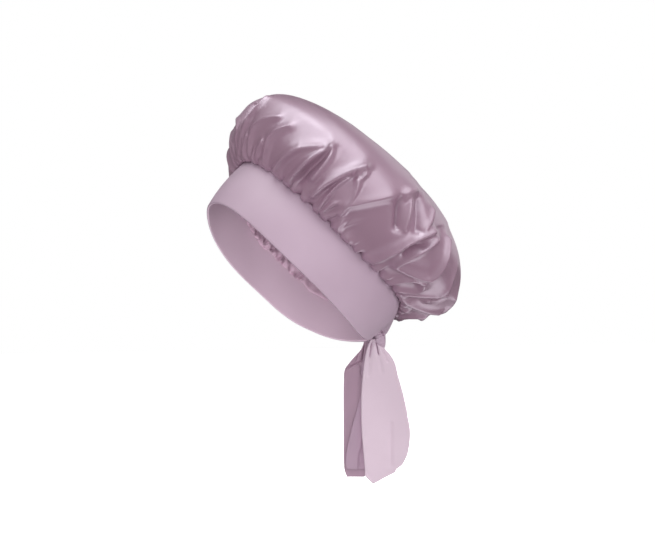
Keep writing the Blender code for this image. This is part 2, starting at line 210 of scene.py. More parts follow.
CREST = 0.0008  # radius of a fold's crest
SLUMP = 0.5  # how much steeper a fold is on its lower side
NARROW_BELOW = 1.5  # folds that reach higher are felt all round the top
FADE_FROM = 0.3  # share of a fold's length after which a fading one fades
FOLDS_BEGIN = (-0.05, 0.06)
FOLDS_END = (1.8, 1.98)

# Guessed and seeded folds: angles in degrees, half widths and how far they stand out in metres
TOP_FOLDS = 13
TOP_FOLD_SCATTER = 9
TOP_FOLD_TURN = 32
TOP_FOLD_START = 1.12
TOP_FOLD_HIGHER = 0.45  # on the camera's side they begin above what the photograph shows
CAMERA_SIDE = (115, 80, 4)  # middle, spread and power of a hump
TOP_FOLD_UNEVEN = 0.15
TOP_FOLD_MIDDLE = 0.92
TOP_FOLD_END = (1.78, 1.93)
TOP_FOLD_OUT = (0.0012, 0.0030)
TOP_FOLD_WEAKER = 0.6
TOP_FOLD_WIDTH = (0.0060, 0.0120)
TOP_FOLD_FADE = 0.6
BACK_FOLDS = 15
BACK_FOLD_ANGLES = (205, 392)
BACK_FOLD_LEAN = 12
BACK_FOLD_SCATTER = 4
BACK_FOLD_HEIGHTS = ((0.45, 0.75), (0.9, 1.15), (1.3, 1.75))
BACK_FOLD_OUT = (0.0034, 0.0064)
BACK_FOLD_WIDTH = (0.0030, 0.0058)
FAR_SIDE_ENDS = 325  # before this the far side's copied folds lie under them, so they are weaker
FAR_SIDE_SHARE = 0.4
SEAM_FOLD_LEAN = 3.5
SEAM_FOLD_START = 0.02
SEAM_FOLD_TOP = (0.20, 0.50)
SEAM_FOLD_LONGER = 0.25
SEAM_FOLDS_SHORT = 0.75  # share of them that aren't longer
SEAM_FOLD_OUT = (0.0026, 0.0052)
SEAM_FOLD_WIDTH = (0.0016, 0.0027)
PANEL_AT = (90, 13, 4)  # the smooth panel over the ear
PANEL_FLATTER = 0.85

# ---- tails

# From here to the knot's turn, tables are in millimetres. A drop is measured down from the knot's middle, and
# across to the camera's right of it

# Edges of the near tail, how far its middle is cupped towards the camera, and where its edges lie
# drop, left, right, cup, front
NEAR_TAIL = (
    (-1, -5, 4, 0, 12.2),
    (2.3, -6.6, 6, 0.3, 12.6),
    (9, -9.3, 8.3, 0.8, 12),
    (13, -10.2, 12, 1.6, 11.4),
    (19.5, -11.3, 16.2, 0.8, 10.8),
    (34, -13, 20.3, -1.8, 9.4),
    (50, -14.2, 24.8, -3, 8.4),
    (70, -14.5, 29.2, -3.4, 7.4),
    (88, -13.8, 32, -3.2, 6.6),
    (100, -13, 31.2, -2.8, 6.2),
    (112.8, -11.9, 27.9, -2, 5.8),
    (120, -11.2, 23.2, -1.6, 5.6),
    (123.2, -11, 18.8, -1.2, 5.5),
    (125.6, -10.9, 18, -1, 5.4),
    (129, -10.7, 11.8, -0.8, 5.3),
    (132, -8.6, 6.2, -0.5, 5.2),
    (134.5, -5.8, 1.6, -0.3, 5.1),
    (136.4, -3.8, -2.4, 0, 5),
)
# Creases, here and in the tables like it: across and drop at each end, half the width, depth
# across_1, drop_1, across_2, drop_2, half_width, depth
NEAR_TAIL_CREASES = (
    (-0.2, 3, 2, 13.3, 0.9, 4.8),
    (2, 13.3, 5, 30, 2, 0.8),
    (-4.4, 3, -6.2, 15, 1.1, 3.4),
    (-6.2, 15, -7.8, 33, 2.2, 0.9),
    (5.2, 8, 10.5, 20, 1.2, 1),
    (13.8, 80, 14.2, 119, 2.2, 0.9),
)
HEM_INSET = 0.0012  # from the tail's edge to the ridge of its turned hem
HEM_RIDGE = 0.0005
HEM_HALF_WIDTH = 0.0006
NEAR_TAIL_ROWS = 150
NEAR_TAIL_COLUMNS = 81

# drop, left edge of the back layer, fold on the right, edge of the front layer
FAR_TAIL = (
    (0, -11.2, -1, -6),
    (5.7, -12.2, -2, -7),
    (10.8, -15.2, -3, -9),
    (19, -22.6, -5, -12.5),
    (28.5, -29.6, -6.5, -14.2),
    (40, -30.8, -8, -14.4),
    (51, -31, -9, -14.6),
    (70, -31, -9.5, -19.2),
    (86.2, -31, -9.5, -23.4),
    (102, -31, -9.5, -26.6),
    (118, -30.8, -9.8, -29),
    (125, -30.2, -10.5, -29.2),
    (131.6, -27.8, -12.5, -28),
)
FAR_TAIL_FRONT = -0.0060
FAR_TAIL_SHORTER = 0.0078  # how much higher the front layer's hem is
FAR_HEM_POWER = 4
FAR_TAIL_CREASES = (
    (-13.6, 20.4, -29.8, 28.5, 0.9, 2),
    (-15.6, 23.5, -12.8, 30, 0.7, 1.4),
    (-15, 30, -12.6, 37, 0.7, 1.2),
    (-11.2, 3, -13, 20, 0.9, 2.2),
    (-14.5, 8, -18.5, 19, 1.2, 1),
)
# The step where the front layer turns in beside the near tail: drop, across
FAR_TAIL_STEP = (
    (90, -12.2),
    (99.4, -13.6),
    (115.6, -17.2),
    (131.6, -17.6),
)
FAR_TAIL_STEP_DEPTH = 0.0030
FAR_STEP_EDGE = (-0.0002, 0.0010)
FAR_STEP_STARTS = (0.080, 0.095)
FAR_FOLD_OPEN = 0.0016
FAR_FOLD_WIDER = 0.0010
FAR_FOLD_WIDENS = (0.05, 0.11)
FAR_BACK_BOW = 0.0012
FAR_FRONT_BOW = 0.0010
FAR_TAIL_ROWS = 130
FAR_BACK_COLUMNS = 25
FAR_FOLD_COLUMNS = 7
FAR_FRONT_COLUMNS = 21
FAR_LIT_FROM = 30  # the column in the fold where the front layer, painted lighter than the back layer as painted light, begins
TAIL_THICKNESS = 0.0013
TAIL_SIDE_SHARE = 0.2  # share of the thickness by which each face stands off the middle at the two sides

# ---- band and knot

# How far the band's lower edge lies above the plain ring, on the near and the far side of the nape
# degrees, near, far
BAND_EDGE = (
    (0, 12.5, 8.5),
    (7, 13, 7.5),
    (13, 16, 3),
    (19, 15.8, 0.1),
    (22, 12.5, -0.6),
    (25, 6, -1.2),
    (28, 1, -1.7),
    (36, -3, -2.7),
    (45, -4.4, -3.2),
    (55, -3.8, -3.6),
    (65, -2.5, -2.5),
    (80, -0.8, 0.4),
    (110, -0.5, 0),
    (180, 0, 0),
)
BAND_END_IN = 0.00092  # metres for each degree from the nape: how far the two ends are drawn together
BAND_END_IN_REACH = 17
BAND_COLUMNS = 640
BAND_MEASURED_ROW = 10  # the line of points along which the band's length is measured
BAND_ROLL = 0.020  # share of the width that the rolled lower edge takes up
BAND_ROLL_POINTS = 7
BAND_FACE_POINTS = 27
BAND_INNER_BOW = 0.35  # share of the outside's bow
BAND_SLACK = 0.0005
BAND_SLACK_WAVES = 3
BAND_RIPPLE = 0.0003
BAND_RIPPLES = 8
BAND_RIPPLE_LEAN = 5
NAPE_PLEAT_DEPTH = 0.0011
NAPE_PLEATS = 5.5  # half waves up the band's width
NAPE_PLEAT_LEAN = 9
NAPE_PLEAT_ANGLE = math.radians(13)
# Creases of the near side of the band: across and drop at each end from the knot's middle, half width, depth
# across_1, drop_1, across_2, drop_2, half_width, depth
BAND_CREASES = (
    (3.4, -10.6, 4.6, -7.8, 1, 2.2),
    (4.6, -7.8, 6.6, -5, 0.9, 2.6),
    (3.4, -10.6, 5.2, -17, 1.4, 0.9),
    (-2.7, -3.2, -4.6, -8.5, 1.5, 1),
    (-4.6, -8.5, -7, -16, 2.8, 0.6),
    (0.5, -5.5, -0.8, -12, 1.3, 0.7),
    (-0.8, -12, -1, -19, 2.4, 0.5),
    (-6, -2.8, -10, -7.5, 1.8, 0.5),
    (8.5, -11, 11.5, -16.5, 1.3, 0.7),
)
CREASES_REACH = math.radians(45)  # from the nape, on the near side
CREASES_BACK = -0.002  # only cloth in front of this takes a crease

# Creases of the knot's front: across and drop at each end from its middle, half the width and depth
# across_1, drop_1, across_2, drop_2, half_width, depth
KNOT_CREASES = (
    (-3, -3.4, -2.4, -2.2, 1.4, 8),
    (-3.3, -2.6, -0.8, 3.2, 0.6, 3.4),
    (-0.2, 3, 8.3, 8.8, 0.7, 1.6),
    (-11, 1, -5, 1.6, 1.6, 6),
    (3.2, -10.4, 4.6, -7.8, 0.9, 2.2),
    (4.6, -7.8, 6.4, -5.2, 0.9, 3),
    (2, -7, 6, 3, 1.4, 0.4),
    (-1, -5.2, 4, 4.2, 1.2, 0.4),
    (-2.9, -3.6, -4.6, -9, 1.4, 0.8),
)
# The lower edge of the turn that crosses the knot's front: across, drop
KNOT_TURN = (
    (-12.7, -1.2),
    (-9.5, 0.8),
    (-4.4, 0.1),
    (-2.9, -2.2),
    (-0.2, 3.1),
    (8.3, 9),
    (12, 11.2),
)
KNOT_TURN_STEP = 0.0058
KNOT_FRONT = 0.0082  # the wrapped cloth stands this far in front of the solid knot's middle
KNOT_TURN_EDGE = (-0.0003, 0.0008)
KNOT_FACING = 0.0043  # how far the ball's front stands out before the wrap is drawn on it in full
KNOT_SQUARENESS = 0.72
KNOT_NARROWER = 0.96
KNOT_TOP = 1.30  # times the solid knot's half height
KNOT_BOTTOM = 1.40
KNOT_RIB_DEPTH = 0.0002
KNOT_RIBS = 2400  # radians for each metre across the wrap's fine ribs
KNOT_COLUMNS = 220
KNOT_ROWS = 130

# ---- cloth's finish, light and camera

SHADE_MM = 35.7  # size of the faint patches of lighter and deeper shade
CRUMPLE_MM = 8.333  # size of the shallow crumples
THREAD_MM = 0.9  # real threads are about 0.1 mm, too fine to show, so they are drawn this coarse
SLUB_MM = 16.667  # length of the thicker stretches along a thread
ROUGHNESS_SPREAD = 0.05
SHINY_FACE = {"gloss": "#ECECF6", "lustre": 0.7, "thread_depth": 0.00003, "crumple_depth": 0.00012}
DULL_FACE = {"gloss": "#FFFFFF", "lustre": 0.3, "thread_depth": 0.00004, "crumple_depth": 0.00006}
# name, place, width and height, watts, what it gives the cloth
SOFTBOXES = (
    ("key_softbox", (1.0, -1.0, 1.8), (2.2, 1.8), 14, "tone"),
    ("left_sheen", (0.20, -0.90, 1.90), (2.0, 1.8), 42, "gloss"),
    ("middle_sheen", (1.00, 0.10, 1.80), (1.8, 1.8), 30, "gloss"),
    ("right_sheen", (1.87, 0.33, 0.62), (1.4, 1.0), 12, "gloss"),
    ("top_softbox", (-1.30, -0.50, 1.40), (1.2, 1.2), 9, "tone"),
    ("low_sheen", (0.18, 0.65, -1.45), (1.2, 1.2), 9, "gloss"),
    ("back_sheen", (-0.6, 1.7, 0.7), (1.6, 1.6), 9, "gloss"),
    ("front_fill", (2.4, -1.1, -0.1), (1.6, 1.6), 30, "tone"),
    ("right_fill", (1.9, 2.0, -0.5), (1.6, 1.6), 28, "tone"),
    ("back_fill", (-1.9, 1.6, 0.5), (1.8, 1.8), 26, "tone"),
    ("mouth_fill", (0.60, -1.60, -0.90), (1.2, 1.2), 9, "tone"),
    ("top_fill", (0.60, 1.20, 2.20), (1.6, 1.6), 22, "tone"),
)
LIGHTS_AIM = (0.0, 0.04, 0.04)
ROOM_GLOSS = 0.12  # how bright the room is in the cloth's gloss
ROOM_TONE = 0.30
CAMERA_LENS = 117.6
CAMERA_AWAY = 2.0
CAMERA_ASIDE = 0.0355


def hat_point(side, back, rise):
    """Places in the bonnet's own directions, as world coordinates."""
    y = back * math.cos(TILT) + rise * math.sin(TILT)
    z = rise * math.cos(TILT) - back * math.sin(TILT)
    return stacked(side, y, z)


def hat_parts(points):
    """World coordinates as places in the bonnet's own directions."""
    back = points[..., 1] * math.cos(TILT) - points[..., 2] * math.sin(TILT)
    rise = points[..., 1] * math.sin(TILT) + points[..., 2] * math.cos(TILT)
    return points[..., 0], back, rise


def ramp(value, low, high):
    """A smooth step from 0 at low to 1 at high."""
    share = np.clip((value - low) / (high - low), 0, 1)
    return share * share * (3 - 2 * share)


def hump(value, middle, spread, power=2):
    """1 at the middle, fading to 0 on both sides."""
    return np.exp(-(((value - middle) / spread) ** power))


def signed_turn(angle):
    """The same direction, as a turn of at most half a ring either way from the nape."""
    return (angle + math.pi) % (2 * math.pi) - math.pi


def ring_angles(columns):
    """Even angles all round, one to a row."""
    return 2 * math.pi * np.arange(columns)[:, None] / columns


def near_nape(angle, spread):
    """1 at the nape, fading round the ring."""
    return hump(signed_turn(angle), 0, spread)


def saddle(angle):
    """How far the ring dips at the sides."""
    return -RING_SADDLE * np.sin(angle) ** 2


def seam_rise(angle):
    """Where the crown is sewn to the band's upper edge."""
    return saddle(angle) + BAND_WIDTH - SEAM_DIP * near_nape(angle, SEAM_DIP_ANGLE)


def stacked(*values):
    """Values put side by side in one array."""
    return np.stack(np.broadcast_arrays(*values), axis=-1)


def length(vectors):
    """How long each vector is."""
    return np.linalg.norm(vectors, axis=-1)


def unit(vectors):
    """Each vector with its length made 1."""
    return vectors / (length(vectors) + TINY)[..., None]


def from_line(points, start, end):
    """The share along a straight line of the place nearest to each point, and the way from there to it."""
    along = end - start
    share = np.clip((points - start) @ along / (along @ along + TINY), 0, 1)
    return share, points - start - share[..., None] * along


def round_to(array):
    """The next one round a ring, for each."""
    return np.roll(array, -1, axis=0)


# ---- meshes


def ring_faces(columns, rows):
    """Quads of a grid of columns by rows, whose last column joins the first."""
    here = np.arange(columns * rows).reshape(columns, rows)
    there = round_to(here)
    return stacked(here[:, :-1], here[:, 1:], there[:, 1:], there[:, :-1]).reshape(-1, 4).tolist()


def fan(edge, tip):
    """Triangles from a closed edge to one point."""
    return [(there, here, tip) for here, there in zip(edge, np.roll(edge, -1))]


def wrapped_strips(index):
    """Strips of quads of a grid whose second way closes on itself, each with its two lines of points."""
    lines = range(index.shape[1])
    for first, second in zip(lines, np.roll(lines, -1)):
        corners = [index[:-1, first], index[:-1, second], index[1:, second], index[1:, first]]
        yield first, second, stacked(*corners)


def add_object(name, data):
    """A new object in the scene."""
    made = bpy.data.objects.new(name, data)
    bpy.context.scene.collection.objects.link(made)
    return made


def add_piece(name, points, faces, cloth, materials, node, kinds=None):
    """A smooth mesh of quads and fans. cloth holds each point's place on the flat cloth, in metres."""
    mesh = bpy.data.meshes.new(name)
    mesh.from_pydata(points.tolist(), [], [list(map(int, face)) for face in faces])
    mesh.update()
    layer = mesh.uv_layers.new(name="cloth")
    corners = np.empty(len(mesh.loops), dtype=np.int32)
    mesh.loops.foreach_get("vertex_index", corners)
    layer.data.foreach_set("uv", cloth[corners].astype(np.float32).ravel())
    mesh.shade_smooth()
    for material in materials:
        mesh.materials.append(material)
    if kinds is not None:
        mesh.polygons.foreach_set("material_index", kinds)
    piece = add_object(name, mesh)
    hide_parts(node)
    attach(piece, "root")
    return piece


# ---- crown


def crown_surface(angle, height):
    """The smooth puffed bag that the cloth hangs about."""
    angle, height = np.broadcast_arrays(np.asarray(angle, float), np.asarray(height, float))
    side_out = np.sin(angle)
    back_out = np.cos(angle)
    neck_side = (RING_HALF_WIDTH - NECK_INSET) * side_out
    neck_back = (RING_HALF_LENGTH - NECK_INSET) * back_out
    neck_rise = seam_rise(angle) + LEDGE
    nape = ((1 + back_out) / 2) ** 2
    wide_side = CROWN_HALF_WIDTH * side_out
    wide_back = CROWN_BACK + CROWN_HALF_LENGTH * back_out
    wide_rise = CROWN_EQUATOR_RISE - CROWN_SAG * nape - CROWN_SADDLE * side_out**2
    turn = np.clip(height, 0, 1) * math.pi / 2
    out = np.sin(turn) ** (1 + (BULGE_NAPE_POWER - 1) * nape)
    up = 1 - np.cos(turn)
    side = neck_side + (wide_side - neck_side) * out
    back = neck_back + (wide_back - neck_back) * out
    rise = neck_rise + (wide_rise - neck_rise) * up
    over = np.clip(height - 1, 0, 1) * math.pi / 2
    dome_out = np.maximum(np.cos(over), 0) ** DOME_OUT_POWER
    dome_up = np.sin(over) ** DOME_UP_POWER
    dome = height > 1
    side = np.where(dome, wide_side * dome_out, side)
    back = np.where(dome, CROWN_APEX_BACK + (wide_back - CROWN_APEX_BACK) * dome_out, back)
    rise = np.where(dome, wide_rise + (CROWN_APEX_RISE - wide_rise) * dome_up, rise)
    return hat_point(side, back, rise)


def crown_outward(angle, height):
    """Outward direction of the smooth bag."""
    step = 0.01
    round_it = crown_surface(angle + step, height) - crown_surface(angle - step, height)
    above = crown_surface(angle, np.minimum(height + step, CAP_TOP))
    below = crown_surface(angle, np.maximum(height - step, 0.0))
    return unit(np.cross(above - below, round_it))


def table_folds():
    """The table's folds, and the same ones on the hidden far side."""
    for angle_1, height_1, angle_2, height_2, angle_3, height_3, half_width, out in CROWN_FOLDS:
        angles = np.array([angle_1, angle_2, angle_3], float)
        heights = np.array([height_1, height_2, height_3])
        yield angles, heights, half_width / 1000, FOLD_DEPTH * out / 1000, 0.0
        if angles.mean() < MIRRORED_BELOW:
            far_out = FAR_FOLD_SHARE * FOLD_DEPTH * out / 1000
            yield 360 - angles - FAR_FOLD_SHIFT, heights, half_width / 1000, far_out, 0.0


def top_folds():
    """Guessed soft folds over the top: ridges and hollows, higher and weaker on the camera's side."""
    rng = np.random.default_rng(SEED + 2)
    starts = np.linspace(0, 360, TOP_FOLDS, endpoint=False)
    for start in starts + rng.normal(0, TOP_FOLD_SCATTER, TOP_FOLDS):
        seen = hump(start, *CAMERA_SIDE)
        low = TOP_FOLD_START + TOP_FOLD_HIGHER * seen + rng.uniform(0, TOP_FOLD_UNEVEN)
        angles = start + np.array([0, 0.5, 1]) * rng.normal(0, TOP_FOLD_TURN)
        heights = np.array([low, 0.5 * low + TOP_FOLD_MIDDLE, rng.uniform(*TOP_FOLD_END)])
        out = rng.choice((-1, 1)) * rng.uniform(*TOP_FOLD_OUT) * (1 - TOP_FOLD_WEAKER * seen)
        yield angles, heights, rng.uniform(*TOP_FOLD_WIDTH), out, TOP_FOLD_FADE


def back_folds():
    """Guessed folds at the back, two ridges to a hollow."""
    rng = np.random.default_rng(SEED + 1)
    for start in np.linspace(*BACK_FOLD_ANGLES, BACK_FOLDS):
        lean = rng.normal(0, BACK_FOLD_LEAN)
        angles = start + np.array([0, 0.6, 1]) * lean + rng.normal(0, BACK_FOLD_SCATTER)
        heights = np.array([rng.uniform(*span) for span in BACK_FOLD_HEIGHTS])
        share = 1 if start > FAR_SIDE_ENDS else FAR_SIDE_SHARE
        out = rng.choice((-1, 1, 1)) * rng.uniform(*BACK_FOLD_OUT) * share
        yield angles, heights, rng.uniform(*BACK_FOLD_WIDTH), out, 1.0


def seam_folds():
    """A small uneven fold up from the middle of each tuck, nearly flat on the smooth panel."""
    rng = np.random.default_rng(SEED)
    for start in np.degrees(tuck_angles()):
        lean = rng.normal(0, SEAM_FOLD_LEAN)
        top = rng.uniform(*SEAM_FOLD_TOP) + SEAM_FOLD_LONGER * (rng.uniform() > SEAM_FOLDS_SHORT)
        flat = hump(start, *PANEL_AT)
        angles = start + np.array([0, 0.4, 1]) * lean
        heights = np.array([SEAM_FOLD_START, 0.5 * top, top])
        out = rng.uniform(*SEAM_FOLD_OUT) * (1 - PANEL_FLATTER * flat)
        yield angles, heights, rng.uniform(*SEAM_FOLD_WIDTH), out, 1.0


def fold_rows():
    """All folds, each as three angles and heights, half width, how far out it stands, and its fade."""
    return [*table_folds(), *top_folds(), *back_folds(), *seam_folds()]


def fold_path(angles, heights):
    """Points on the smooth bag along the curve through a fold's three points."""
    share = np.linspace(0, 1, FOLD_POINTS)
    first = (1 - share) * (1 - 2 * share)
    middle = 4 * share * (1 - share)
    last = share * (2 * share - 1)
    angle = np.radians(first * angles[0] + middle * angles[1] + last * angles[2])
    height = first * heights[0] + middle * heights[1] + last * heights[2]
    return crown_surface(angle, np.clip(height, 0, CAP_TOP))


def crown_folds(angle, height, bag):
    """How far the folds stand out at points of the smooth bag. Crossing ridges keep the higher of the two."""
    ridges = np.zeros(bag.shape[:-1])
    hollows = np.zeros(bag.shape[:-1])
    around = np.asarray(angle)[:, 0]
    for angles, heights, half_width, out, fade in fold_rows():
        middle = math.radians((angles.min() + angles.max()) / 2)
        window = FOLD_WINDOW if heights.max() < NARROW_BELOW else math.pi
        reach = math.radians(np.ptp(angles)) / 2 + window
        near = np.flatnonzero(np.abs(signed_turn(around - middle)) < reach)
        part = bag[near]
        path = fold_path(angles, heights)
        nearest = np.full(part.shape[:-1], np.inf)
        below = np.zeros(part.shape[:-1])
        along_it = np.zeros(part.shape[:-1])
        for step, (start, end) in enumerate(zip(path[:-1], path[1:])):
            share, offset = from_line(part, start, end)
            distance = length(offset)
            below = np.where(distance < nearest, -offset[..., 2] / (distance + TINY), below)
            along_it = np.where(distance < nearest, (step + share) / (FOLD_POINTS - 1), along_it)
            nearest = np.minimum(nearest, distance)
        width = half_width * (1 - SLUMP * below)
        crest = np.exp((CREST - np.hypot(nearest, CREST)) / width)
        crest = crest * (1 - fade * ramp(along_it, FADE_FROM, 1.0))
        kind = ridges if out > 0 else hollows
        kind[near] = np.maximum(kind[near], abs(out) * crest)
    return (ridges - hollows) * ramp(height, *FOLDS_BEGIN) * (1 - ramp(height, *FOLDS_END))


def tuck_angles():
    """Where the middle of each gathered tuck lies on the seam."""
    rng = np.random.default_rng(SEED)
    return 2 * math.pi * (np.arange(TUCKS) + rng.uniform(-TUCK_SHIFT, TUCK_SHIFT, TUCKS)) / TUCKS


def pleats(angle):
    """Uneven tucks round the seam: 1 in the middle of a tuck and -1 at the pinch between two."""
    middles = tuck_angles()
    middles = np.concatenate([middles[-1:] - 2 * math.pi, middles, middles[:1] + 2 * math.pi])
    turns = np.interp(np.asarray(angle) % (2 * math.pi), middles, np.arange(-1, TUCKS + 1))
    return np.cos(2 * math.pi * turns)


def crown_heights():
    """Heights of the fine rings from the seam to the smooth top, evenly spaced along the cloth."""
    samples = 900
    lines = 48
    heights = np.linspace(0, CAP_HEIGHT, samples)
    angles = np.linspace(0, 2 * math.pi, lines, endpoint=False)
    places = crown_surface(angles[:, None], heights[None, :])
    steps = length(np.diff(places, axis=1)).mean(axis=0)
    lengths = np.concatenate([[0], np.cumsum(steps)])
    return np.interp(np.linspace(0, lengths[-1], FINE_RINGS + 1), lengths, heights)


def gather_waves(angle, height, seed):
    """Uneven waves that run up from the seam, the long ones furthest."""
    rng = np.random.default_rng(seed)
    total = np.zeros(np.broadcast(angle, height).shape)
    for _ in range(WAVES):
        count = rng.integers(*WAVE_COUNTS)
        lean = rng.normal(0, WAVE_LEAN)
        start = rng.uniform(0, 2 * math.pi)
        fade = hump(height, 0, WAVE_REACH / count + WAVE_LEAST_REACH)
        wave = np.cos(count * angle + lean * height * count / WAVE_LEAN_COUNT + start)
        total = total + wave * fade * (WAVE_SIZE / count)
    return total / WAVE_LEVEL


def pull(first, second, rest, stiffness, free_first, free_second):
    """Moves two sets of points along their links, towards the links' rest lengths."""
    link = second - first
    long = length(link) + TINY
    share = np.maximum(free_first + free_second, 1)
    move = (stiffness * (long - rest) / long / share)[..., None] * link
    return first + move * free_first[..., None], second - move * free_second[..., None]


def pull_links(cloth, rest_round, rest_up, diagonal, free):
    """One round of pulls: round the bag, up it and across its squares."""
    columns, rings, _ = cloth.shape
    even = slice(0, columns, 2)
    odd = slice(1, columns, 2)
    for start in (0, 1):
        turned = np.roll(cloth, -start, axis=0)
        rest = np.roll(rest_round, -start, axis=0)[even]
        turned[even], turned[odd] = pull(turned[even], turned[odd], rest, 1.0, free, free)
        cloth = np.roll(turned, start, axis=0)
    for start in (0, 1):
        low = slice(start, rings - 1, 2)
        high = slice(start + 1, rings, 2)
        free_ends = (free[:, low], free[:, high])
        cloth[:, low], cloth[:, high] = pull(cloth[:, low], cloth[:, high], rest_up[:, low], 1.0, *free_ends)
        for step in (1, -1):
            slid = np.roll(cloth, -step, axis=0)[:, high]
            cloth[:, low], slid = pull(cloth[:, low], slid, diagonal[:, low], SHEAR, *free_ends)
            cloth[:, high] = np.roll(slid, step, axis=0)
    return cloth


def bow_round(values):
    """How far the mean of each point's two neighbours round the ring lies from it."""
    return 0.5 * (np.roll(values, 1, axis=0) + round_to(values)) - values


def bow_up(values):
    """The same with its neighbours above and below."""
    bow = np.zeros_like(values)
    bow[:, 1:-1] = 0.5 * (values[:, :-2] + values[:, 2:]) - values[:, 1:-1]
    return bow


def lift_off_band(cloth, edge, free):
    """Keeps the cloth above the band's edge, and lets its puffs hang a little way past it."""
    side, back, rise = hat_parts(cloth)
    ring = np.sqrt((side / RING_HALF_WIDTH) ** 2 + (back / RING_HALF_LENGTH) ** 2)
    beyond = (ring - 1) * (RING_HALF_WIDTH + RING_HALF_LENGTH) / 2
    over_band = (rise < edge) & (beyond < BAND_THICKNESS / 2 + 2 * GAP)
    floor = np.where(over_band, edge, edge - LAP)
    return hat_point(side, back, np.where(free > 0, np.maximum(rise, floor), rise))


def solve_cloth(cloth, shape, outward, rest_round, rest_up, hold, rounds, bend, edge):
    """Cloth that is fuller than the bag: it folds, puffs out and lies over the band's edge."""
    free = np.ones((1, cloth.shape[1]))
    free[:, [0, -1]] = 0  # the seam and the ring under the smooth top are held
    diagonal = np.sqrt(rest_round[:, :-1] ** 2 + rest_up**2)
    speed = np.zeros_like(cloth)
    for _ in range(rounds):
        before = cloth.copy()
        cloth = cloth + speed * free[..., None]
        round_it = round_to(cloth) - np.roll(cloth, 1, axis=0)
        up_it = np.zeros_like(cloth)
        up_it[:, 1:-1] = cloth[:, 2:] - cloth[:, :-2]
        cloth = cloth + unit(np.cross(up_it, round_it)) * (PRESSURE * free)[..., None]
        away = shape - cloth
        off = np.sum(away * outward, axis=-1, keepdims=True) * outward
        cloth = cloth + (off + SLIDE_SHARE * (away - off)) * (hold * free)[..., None]
        for _ in range(LINK_ROUNDS):
            cloth = pull_links(cloth, rest_round, rest_up, diagonal, free)
        for bow in (bow_round, bow_up):
            cloth = cloth - bow(bow(cloth)) * (bend * free)[..., None]
        cloth = lift_off_band(cloth, edge, free)
        speed = np.clip((cloth - before) * DAMPING, -TOP_SPEED, TOP_SPEED)
    return cloth


def between(before, here, there, after):
    """Halfway from here to there, on a smooth curve through all four points."""
    return (9 * (here + there) - before - after) / 16


def double_round(points):
    """Twice the columns, on a smooth curve round each ring."""
    middle = between(np.roll(points, 1, axis=0), points, round_to(points), np.roll(points, -2, axis=0))
    return np.stack([points, middle], axis=1).reshape(-1, *points.shape[1:])


def double_up(points):
    """Twice the ring steps, on a smooth curve up each column."""
    first = 2 * points[:, :1] - points[:, 1:2]
    last = 2 * points[:, -1:] - points[:, -2:-1]
    padded = np.concatenate([first, points, last], axis=1)
    rings = np.empty((points.shape[0], 2 * points.shape[1] - 1, 3))
    rings[:, 0::2] = points
    rings[:, 1::2] = between(padded[:, :-3], padded[:, 1:-2], padded[:, 2:-1], padded[:, 3:])
    return rings


def crown_shape(angle, height):
    """The smooth bag, its outward directions, its folds, and the shape that these and the tucks give."""
    bag = crown_surface(angle, height)
    outward = crown_outward(angle, height)
    snug = hump(angle, *SNUG_AT)
    folds = crown_folds(angle, height, bag) * (1 - SNUG_FOLDS * snug)
    tuck = 0.5 + 0.5 * pleats(angle)
    puff = PUFF * hump(height, *PUFF_AT)
    puff = puff + TUCK_OUT * (tuck - TUCK_LEVEL) * hump(height, *TUCK_AT)
    puff = puff * (1 - SNUG_PUFF * snug)
    sag = TUCK_DOWN * tuck * hump(height, *TUCK_DOWN_AT)
    shape = bag + outward * (folds + puff)[..., None] - hat_point(0.0, 0.0, sag)
    return bag, outward, folds, shape


def rest_lengths(bag, folds, height):
    """How long the cloth is between neighbouring points, round the bag and up it."""
    fullness = 1 + (SEAM_FULL - 1) * hump(height, 0, FULL_FADE)
    rest_round = length(round_to(bag) - bag)
    rest_round = np.hypot(rest_round, TAUT * (round_to(folds) - folds)) * fullness
    rest_up = length(np.diff(bag, axis=1))
    return rest_round, np.hypot(rest_up, TAUT * np.diff(folds, axis=1))


def seam_pinch(angle):
    """How far the seam is drawn in: most between two tucks."""
    return PLEAT_DEPTH * (1 - pleats(angle)) / 2


def drawn_in(angle, inward, drop):
    """What is taken from places on the ring to draw them inwards and down."""
    return hat_point(np.sin(angle) * inward, np.cos(angle) * inward, drop)


def crown_cloth():
    """The gathered cloth on the fine grid, from the seam to the smooth top."""
    fine_heights = crown_heights()
    cloth = None
    for halvings, rounds, bend in LEVELS:
        step = 2**halvings
        columns = FINE_COLUMNS // step
        height = fine_heights[::step][None, :]
        angle = ring_angles(columns)
        bag, outward, folds, shape = crown_shape(angle, height)
        if cloth is None:
            cloth = shape + outward * (FIRST_WAVE * gather_waves(angle, height, SEED))[..., None]
            wave = 0.5 * PLEAT_DEPTH * pleats(angle) * np.exp(-height / PLEAT_FADE)
        else:
            cloth = double_up(double_round(cloth))
            wave = gather_waves(angle, height, SEED + columns)
            wave = LATER_WAVE * wave * np.exp(-height / LATER_WAVE_FADE)
        cloth = cloth + outward * wave[..., None]
        cloth[:, :1] = bag[:, :1] - drawn_in(angle, seam_pinch(angle), 0.0)
        cloth[:, -1] = shape[:, -1]
        rest_round, rest_up = rest_lengths(bag, folds, height)
        hold = SEAM_HOLD + (HOLD - SEAM_HOLD) * ramp(height, *HOLD_GROWS)
        edge = seam_rise(angle) + LEDGE
        cloth = solve_cloth(cloth, shape, outward, rest_round, rest_up, hold, rounds, bend, edge)
    return fine_heights, cloth


